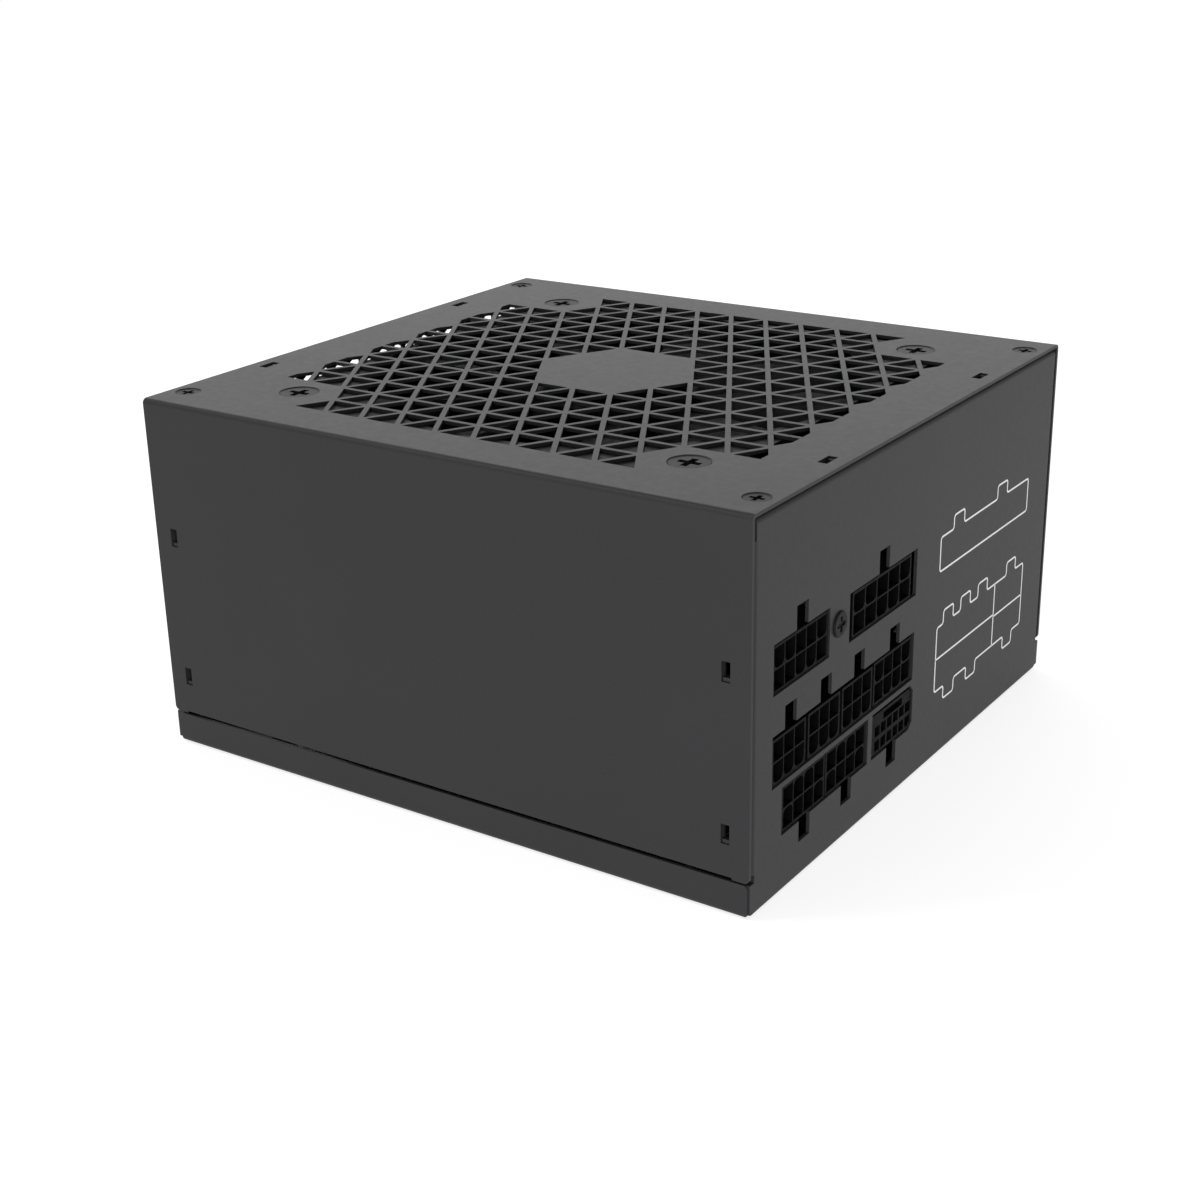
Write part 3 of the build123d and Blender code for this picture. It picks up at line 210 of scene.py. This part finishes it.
def powder_coat():
    """Satin dark grey powder coat: orange peel, fine grain and specks in its colour."""
    made, b, into = material("powder_coat", specular=0.15)
    grain = b.noise(2.6, 3)
    cloud = b.noise(0.035, 3)
    colour = b.mix(b.stretch(grain, 0.3, 0.7, 0, 1), grey(0.0225, 0.05), grey(0.0265, 0.05))
    colour = b.mix(b.stretch(cloud, 0.35, 0.65, 0, 0.3), colour, grey(0.028, 0.06))
    b.put(into["Base Color"], colour)
    b.put(into["Roughness"], b.stretch(b.noise(0.6, 4), 0.3, 0.7, 0.45, 0.49))
    peel = b.bump(b.noise(0.9, 2), 0.08, 0.03)
    b.put(into["Normal"], b.bump(b.noise(5.5, 3), 0.12, 0.012, peel))
    return made


def moulded(name, dark, light, rough, specular=0.5):
    """Moulded plastic: eroded grain, faint flow marks and a little variation in gloss."""
    made, b, into = material(name, specular=specular)
    flow = b.noise(0.12, 3, (1, 1, 0.3))
    colour = b.mix(b.stretch(flow, 0.3, 0.7, 0, 1), grey(dark), grey(light, 0.02))
    b.put(into["Base Color"], colour)
    b.put(into["Roughness"], b.stretch(b.noise(1.1, 3), 0.3, 0.7, rough - 0.06, rough + 0.08))
    b.put(into["Normal"], b.bump(b.noise(6.0, 2), 0.25, 0.015))
    return made


def plated(name, dark, light, rough, scratches=(1, 1, 8)):
    """Plated or bare metal with fine drawn lines and cloudy gloss."""
    made, b, into = material(name, metallic=1.0)
    lines = b.noise(1.6, 4, scratches)
    cloud = b.noise(0.25, 3)
    b.put(into["Base Color"], b.mix(b.stretch(cloud, 0.3, 0.7, 0, 1), dark, light))
    b.put(into["Roughness"], b.stretch(lines, 0.3, 0.7, rough - 0.08, rough + 0.10))
    b.put(into["Normal"], b.bump(lines, 0.15, 0.01))
    return made


def black_screw():
    made, b, into = material("black_zinc", specular=0.06)
    worn = b.noise(1.4, 4)
    b.put(into["Base Color"], b.mix(b.stretch(worn, 0.4, 0.75, 0, 1), grey(0.008), grey(0.014, 0.05)))
    b.put(into["Roughness"], b.stretch(b.noise(3.5, 3), 0.3, 0.7, 0.36, 0.48))
    b.put(into["Normal"], b.bump(b.noise(7.0, 2), 0.2, 0.01))
    return made


def ferrite():
    made, b, into = material("ferrite", specular=0.35)
    cells = b.add("TexVoronoi", {"feature": "F1"}, Vector=b.places(), Scale=2.2).outputs["Distance"]
    b.put(into["Base Color"], b.mix(b.stretch(cells, 0.1, 0.6, 0, 1), grey(0.055, 0.08), grey(0.03, 0.05)))
    b.put(into["Roughness"], b.stretch(b.noise(1.5, 3), 0.3, 0.7, 0.6, 0.8))
    b.put(into["Normal"], b.bump(cells, 0.3, 0.05))
    return made


def ring_coating():
    made, b, into = material("ring_coating", coat=0.3, coat_roughness=0.2)
    drip = b.noise(0.35, 3, (1, 1, 0.4))
    thick = b.stretch(drip, 0.3, 0.7, 0, 1)
    b.put(into["Base Color"], b.mix(thick, (0.02, 0.13, 0.06, 1), (0.04, 0.22, 0.1, 1)))
    b.put(into["Roughness"], b.stretch(b.noise(0.9, 2), 0.3, 0.7, 0.3, 0.45))
    b.put(into["Normal"], b.bump(drip, 0.3, 0.2))
    return made


def laminations():
    made, b, into = material("laminations", metallic=1.0)
    sheets = b.add("TexWave", {"bands_direction": "Z"}, Vector=b.places(), Scale=0.62, Distortion=0.2)
    stack = sheets.outputs["Fac"]
    b.put(into["Base Color"], b.mix(stack, grey(0.18), grey(0.42, 0.03)))
    b.put(into["Roughness"], b.stretch(b.noise(1.2, 3), 0.3, 0.7, 0.3, 0.5))
    b.put(into["Normal"], b.bump(stack, 0.5, 0.08))
    return made


def circuit_board():
    """Solder mask over tracks: a maze of darker lanes, pads, and the weave of the glass."""
    made, b, into = material("solder_mask", coat=0.15, coat_roughness=0.25)
    layout = {"offset": 0.37, "squash": 1.7, "squash_frequency": 3}
    tracks = b.add("TexBrick", layout, Vector=b.places(), Scale=0.16)
    tracks.inputs["Mortar Size"].default_value = 0.05
    tracks.inputs["Color1"].default_value = grey(1)
    tracks.inputs["Color2"].default_value = grey(0.7)
    tracks.inputs["Mortar"].default_value = grey(0)
    lanes = tracks.outputs["Color"]
    weave = b.noise(2.2, 1)
    green = b.mix(lanes, (0.008, 0.035, 0.016, 1), (0.016, 0.075, 0.03, 1))
    b.put(into["Base Color"], b.mix(b.stretch(weave, 0.4, 0.7, 0, 0.4), green, (0.02, 0.06, 0.03, 1)))
    b.put(into["Roughness"], b.stretch(b.noise(0.8, 3), 0.3, 0.7, 0.3, 0.42))
    raised = b.bump(lanes, 0.3, 0.035)
    b.put(into["Normal"], b.bump(weave, 0.1, 0.02, raised))
    return made


def can_sleeve():
    """Shrunk sleeve round a can, with the bare aluminium top that shows inside its rim."""
    made, b, into = material("can_sleeve")
    up = b.add("SeparateXYZ", Vector=b.add("NewGeometry").outputs["Normal"]).outputs["Z"]
    top = b.math("GREATER_THAN", up, 0.9)
    wrinkles = b.noise(0.8, 3, (1, 1, 0.25))
    sleeve = b.mix(b.stretch(wrinkles, 0.3, 0.7, 0, 1), grey(0.012), (0.02, 0.022, 0.03, 1))
    b.put(into["Base Color"], b.mix(top, sleeve, grey(0.62, 0.02)))
    b.put(into["Metallic"], top)
    b.put(into["Roughness"], b.stretch(b.noise(1.3, 3), 0.3, 0.7, 0.22, 0.34))
    b.put(into["Normal"], b.bump(wrinkles, 0.15, 0.06))
    return made


def tape():
    made, b, into = material("polyester_tape", coat=0.4, coat_roughness=0.15)
    wave = b.add("TexWave", {"bands_direction": "Z"}, Vector=b.places(), Scale=0.09, Distortion=0.4)
    laps = wave.outputs["Fac"]
    b.put(into["Base Color"], b.mix(laps, (0.62, 0.40, 0.045, 1), (0.80, 0.58, 0.09, 1)))
    b.put(into["Roughness"], b.stretch(b.noise(0.7, 3), 0.3, 0.7, 0.25, 0.4))
    b.put(into["Normal"], b.bump(laps, 0.3, 0.08))
    return made


def film():
    made, b, into = material("clear_film", specular=0.5)
    creases = b.noise(0.05, 4)
    b.put(into["Base Color"], b.mix(b.stretch(creases, 0.3, 0.7, 0, 1), grey(0.5), grey(0.68, -0.04)))
    b.put(into["Roughness"], b.stretch(b.noise(0.5, 3), 0.3, 0.7, 0.18, 0.32))
    into["Transmission Weight"].default_value = 0.35
    b.put(into["Normal"], b.bump(creases, 0.3, 0.4))
    return made


def lead_sleeve():
    made, b, into = material("lead_sleeve")
    print_bands = b.noise(0.3, 2)
    b.put(into["Base Color"], b.mix(b.stretch(print_bands, 0.4, 0.6, 0, 1), grey(0.012), grey(0.022)))
    b.put(into["Roughness"], b.stretch(b.noise(1.5, 3), 0.3, 0.7, 0.35, 0.5))
    b.put(into["Normal"], b.bump(b.noise(1.2, 2), 0.2, 0.03))
    return made


def earth_sleeve():
    """Green insulation with a yellow stripe that winds round it."""
    made, b, into = material("earth_sleeve")
    wave = b.add("TexWave", {"bands_direction": "DIAGONAL"}, Vector=b.places(), Scale=0.13, Distortion=0.6)
    stripe = b.stretch(wave.outputs["Fac"], 0.62, 0.68, 0, 1)
    b.put(into["Base Color"], b.mix(stripe, (0.03, 0.2, 0.03, 1), (0.72, 0.6, 0.03, 1)))
    b.put(into["Roughness"], b.stretch(b.noise(1.5, 3), 0.3, 0.7, 0.35, 0.5))
    b.put(into["Normal"], b.bump(b.noise(1.2, 2), 0.2, 0.03))
    return made


def white_ink():
    """Screen-printed ink, slightly thin in places."""
    made, b, into = material("white_ink")
    thin = b.noise(3.0, 3)
    b.put(into["Base Color"], b.mix(b.stretch(thin, 0.3, 0.75, 0, 1), grey(0.80), grey(0.62)))
    b.put(into["Roughness"], b.stretch(b.noise(2.0, 2), 0.3, 0.7, 0.5, 0.65))
    b.put(into["Normal"], b.bump(thin, 0.15, 0.01))
    return made


def floor_paint():
    made, b, into = material("studio_floor", specular=0.0)
    b.put(into["Base Color"], b.mix(b.noise(0.004, 3), grey(0.44), grey(0.46)))
    into["Roughness"].default_value = 0.9
    into["Emission Color"].default_value = grey(1)
    into["Emission Strength"].default_value = 0.74
    return made


copper = plated("enamelled_copper", (0.42, 0.14, 0.05, 1), (0.62, 0.26, 0.11, 1), 0.26, (1, 1, 2))
finishes = {
    "case_steel": powder_coat(),
    "black_screw": black_screw(),
    "zinc_steel": plated("zinc_plate", grey(0.42, 0.05), grey(0.6, 0.02), 0.32),
    "black_plastic": moulded("black_nylon", 0.0022, 0.0036, 0.5, 0.04),
    "fan_plastic": moulded("fan_plastic", 0.0025, 0.0045, 0.5, 0.08),
    "contact_metal": plated("tinned_contact", (0.50, 0.46, 0.38, 1), (0.66, 0.62, 0.52, 1), 0.3, (1, 6, 1)),
    "copper": copper,
    "bare_aluminium": plated("drawn_aluminium", grey(0.55, 0.02), grey(0.72, 0.02), 0.38, (4, 1, 4)),
    "ferrite": ferrite(),
    "core_green": ring_coating(),
    "core_steel": laminations(),
    "board": circuit_board(),
    "can_sleeve": can_sleeve(),
    "yellow_tape": tape(),
    "insulation": film(),
    "lead_sleeve": lead_sleeve(),
    "earth_sleeve": earth_sleeve(),
}
for subpart in frame["record"]["subparts"]:
    node = nodes[subpart["node"]]
    for slot in node.material_slots:
        slot.material = finishes[subpart["material_slot"]]


# ---------------------------------------------------------------- printed outlines

def corner_points(before, corner, after, radius):
    """Points of the arc that rounds one corner of an outline."""
    into = (before - corner).normalized()
    out = (after - corner).normalized()
    centre = corner + (into + out) * radius
    first, last = corner + into * radius, corner + out * radius
    points = []
    for step in range(CORNER_STEPS + 1):
        place = first.lerp(last, step / CORNER_STEPS)
        points.append(centre + (place - centre).normalized() * radius)
    return points


def ribbon(outline, closed):
    """The two edges of a line drawn along an outline, as pairs of points in millimetres."""
    corners = [Vector(p) for p in outline]
    count = len(corners)
    path = []
    for i, corner in enumerate(corners):
        if closed or 0 < i < count - 1:
            path += corner_points(corners[i - 1], corner, corners[(i + 1) % count], LINE_CORNER)
        else:
            path.append(corner)
    rows = []
    for i, place in enumerate(path):
        before = path[i - 1] if closed or i > 0 else place
        after = path[(i + 1) % len(path)] if closed or i < len(path) - 1 else place
        along = (after - before).normalized()
        across = Vector((-along.y, along.x)) * LINE_WIDTH / 2
        rows.append((place + across, place - across))
    return rows


def ink_piece(name, bands, body):
    """A thin raised layer of white ink.

    A band is its rows of edge points in metres, its lift, and whether it closes on itself.
    """
    vertices, faces = [], []
    for rows, lift, closed in bands:
        first = len(vertices)
        for outer, inner in rows:
            vertices += [outer, outer + lift, inner + lift, inner]
        for i in range(len(rows) if closed else len(rows) - 1):
            here, there = first + 4 * i, first + 4 * ((i + 1) % len(rows))
            for k in range(4):
                turn = (k + 1) % 4
                faces.append((here + k, here + turn, there + turn, there + k))
    mesh = bpy.data.meshes.new(name)
    mesh.from_pydata(vertices, [], faces)
    work = bmesh.new()
    work.from_mesh(mesh)
    bmesh.ops.holes_fill(work, edges=work.edges, sides=4)
    bmesh.ops.recalc_face_normals(work, faces=work.faces)
    work.to_mesh(mesh)
    work.free()
    mesh.materials.append(ink)
    piece = bpy.data.objects.new(name, mesh)
    bpy.context.scene.collection.objects.link(piece)
    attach(piece, body)


def box_with_tabs(low, high, top_tabs, top, low_tabs=(), bottom=0.0):
    """Outline of a row of plugs: a box with tabs above that reach top, and tabs below that reach bottom."""
    points = [(PRINT_LEFT, low)]
    for start, end in low_tabs:
        points += [(start, low), (start, bottom), (end, bottom), (end, low)]
    points += [(PRINT_RIGHT, low), (PRINT_RIGHT, high)]
    for start, end in reversed(top_tabs):
        points += [(end, high), (end, top), (start, top), (start, high)]
    points.append((PRINT_LEFT, high))
    return points


def printed_lines():
    """Outlines of the plug faces, printed beside the sockets."""
    panel_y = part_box("modular_panel")[0].y
    upper = box_with_tabs(UPPER_LOW, UPPER_HIGH, UPPER_TABS, UPPER_TAB_TOP)
    lower = box_with_tabs(
        LOWER_LOW, LOWER_HIGH, LOWER_TABS_ABOVE, LOWER_TAB_TOP, LOWER_TABS_BELOW, LOWER_TAB_BOTTOM
    )
    lines = [
        (upper, True),
        (lower, True),
        ([(DIVIDER, LOWER_LOW), (DIVIDER, LOWER_HIGH)], False),
        ([(PRINT_LEFT, LEFT_SHELF), (DIVIDER, LEFT_SHELF)], False),
        ([(DIVIDER, RIGHT_SHELF), (PRINT_RIGHT, RIGHT_SHELF)], False),
    ]
    bands = []
    for outline, closed in lines:
        edges = ribbon(outline, closed)
        rows = [[Vector((p.x / 1000, panel_y, p.y / 1000)) for p in pair] for pair in edges]
        bands.append((rows, Vector((0, -INK_THICKNESS, 0)), closed))
    ink_piece("printed_outlines", bands, "chassis")


def switch_marks():
    """The plain on and off marks of a mains switch, one on each half of its rocker."""
    rocker = nodes["rocker_button"]
    low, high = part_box("rocker_button")
    middle = (low + high) / 2
    half = (high.z - low.z) / 4

    def on_face(x, z):
        start = Vector((x, high.y + RAY_START, z))
        _, place, normal, _ = rocker.ray_cast(start, Vector((0, -1, 0)))
        return place, normal

    ring_z = middle.z - half
    ring = []
    for step in range(RING_STEPS):
        t = 2 * pi * step / RING_STEPS
        ring.append([on_face(middle.x + r * sin(t), ring_z + r * cos(t))[0] for r in RING_RADII])
    bar_z = middle.z + half
    dx, dz = BAR_HALF
    bar = [[on_face(middle.x + side * dx, bar_z + end * dz)[0] for side in (1, -1)] for end in (-1, 1)]
    bands = [
        (ring, on_face(middle.x, ring_z)[1] * INK_THICKNESS, True),
        (bar, on_face(middle.x, bar_z)[1] * INK_THICKNESS, False),
    ]
    ink_piece("switch_marks", bands, "power_rocker")


ink = white_ink()
printed_lines()
switch_marks()


# ---------------------------------------------------------------- softened edges

def soften(name):
    """Rounds the sharp edges of a moulded part by a fraction of a millimetre."""
    weld = nodes[name].modifiers.new("join", "WELD")
    weld.merge_threshold = WELD_REACH
    bevel = nodes[name].modifiers.new("edges", "BEVEL")
    bevel.width = EDGE_WIDTH / 1000
    bevel.segments = 2
    bevel.limit_method = "ANGLE"
    bevel.angle_limit = radians(EDGE_ANGLE)
    bevel.harden_normals = True


for moulding in ("ac_inlet", "switch_body", "rocker_button"):
    soften(moulding)


# ---------------------------------------------------------------- floor and light

def studio():
    """Pale floor, and a world that is white behind it and a little darker as a light."""
    floor_mesh = bpy.data.meshes.new("floor")
    corners = [(x * FLOOR_REACH, y * FLOOR_REACH, 0) for x, y in ((-1, -1), (1, -1), (1, 1), (-1, 1))]
    floor_mesh.from_pydata(corners, [], [(0, 1, 2, 3)])
    floor = bpy.data.objects.new("floor", floor_mesh)
    bpy.context.scene.collection.objects.link(floor)
    floor.location.z = FLOOR_LEVEL
    floor_mesh.materials.append(floor_paint())
    world = bpy.data.worlds.new("studio")
    bpy.context.scene.world = world
    world.use_nodes = True
    background = world.node_tree.nodes["Background"].inputs
    background["Color"].default_value = (1, 1, 1, 1)
    b = Nodes(world.node_tree)
    seen = b.add("LightPath").outputs["Is Camera Ray"]
    b.put(background["Strength"], b.stretch(seen, 0, 1, WORLD_AS_LIGHT, WORLD_AS_BACKGROUND))
    bpy.context.scene.view_settings.view_transform = "Standard"


def soft_light(name, place, target, width, height, power):
    data = bpy.data.lights.new(name, "AREA")
    data.shape = "RECTANGLE"
    data.size, data.size_y, data.energy = width, height, power
    lamp = bpy.data.objects.new(name, data)
    bpy.context.scene.collection.objects.link(lamp)
    lamp.location = place
    lamp.visible_camera = False
    lamp.rotation_euler = (Vector(place) - Vector(target)).to_track_quat("Z", "Y").to_euler()


studio()
for light in SOFT_LIGHTS:
    soft_light(*light)
